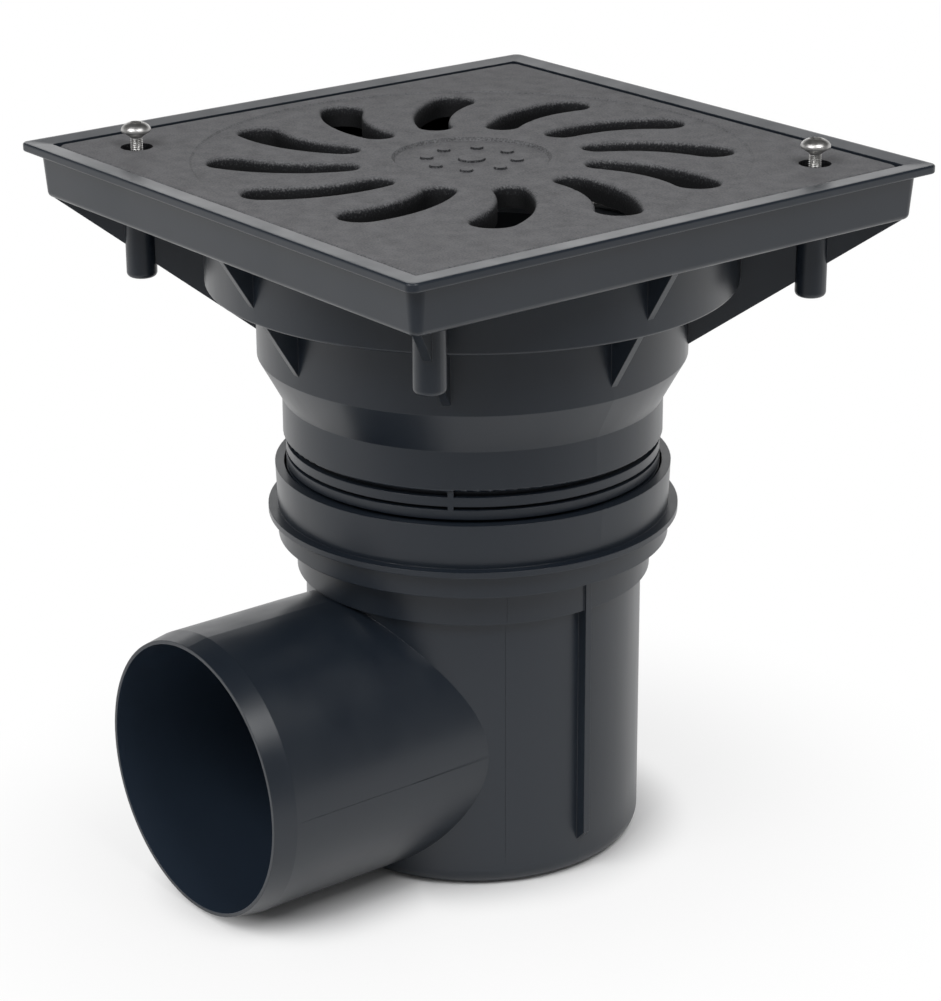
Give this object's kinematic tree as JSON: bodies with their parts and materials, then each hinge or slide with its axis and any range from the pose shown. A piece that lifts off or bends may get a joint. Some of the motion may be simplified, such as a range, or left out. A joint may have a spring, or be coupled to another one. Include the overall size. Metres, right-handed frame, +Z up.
{
  "type": "gully trap",
  "caption": "Yard gully trap with a square frame and swirl-slotted iron grate, a sludge bucket and flap odour trap inside, and a side outlet spigot for a 110 mm drain pipe.",
  "frame": {"origin": "centre of the trap body's base, on the surface that it stands on", "axes": "+Z up along the body's axis, towards the grate; -Y along the outlet, out of its mouth"},
  "size_m": [0.244, 0.2562, 0.2817],
  "materials": {
    "black_pp": "satin moulded",
    "grey_pp": "satin moulded",
    "cast_iron": "sand cast, painted",
    "stainless": "bright",
    "epdm": "matt"
  },
  "bodies": {
    "trap": {"trap_body": "black_pp", "trap_insert": "grey_pp", "insert_seal": "epdm", "flap_pin": "stainless"},
    "seal": {"socket_seal": "epdm"},
    "inlet": {"inlet_frame": "black_pp", "grate": "cast_iron", "grate_screws": "stainless", "sludge_bucket": "grey_pp", "bucket_bail": "stainless"},
    "flap": {"trap_flap": "grey_pp", "flap_seal": "epdm"}
  },
  "joints": [
    {"name": "inlet_swivel", "type": "hinge", "parent": "trap", "child": "seal", "pos_m": [0, 0, 0.147], "axis": [0, 0, 1], "continuous": true},
    {"name": "inlet_height", "type": "slide", "parent": "seal", "child": "inlet", "axis": [0, 0, 1], "range_m": [-0.008, 0.005]},
    {"name": "flap_swing", "type": "hinge", "parent": "trap", "child": "flap", "pos_m": [0, -0.03102, 0.10216], "axis": [-1, 0, 0], "range_deg": [0, 60]}
  ]
}
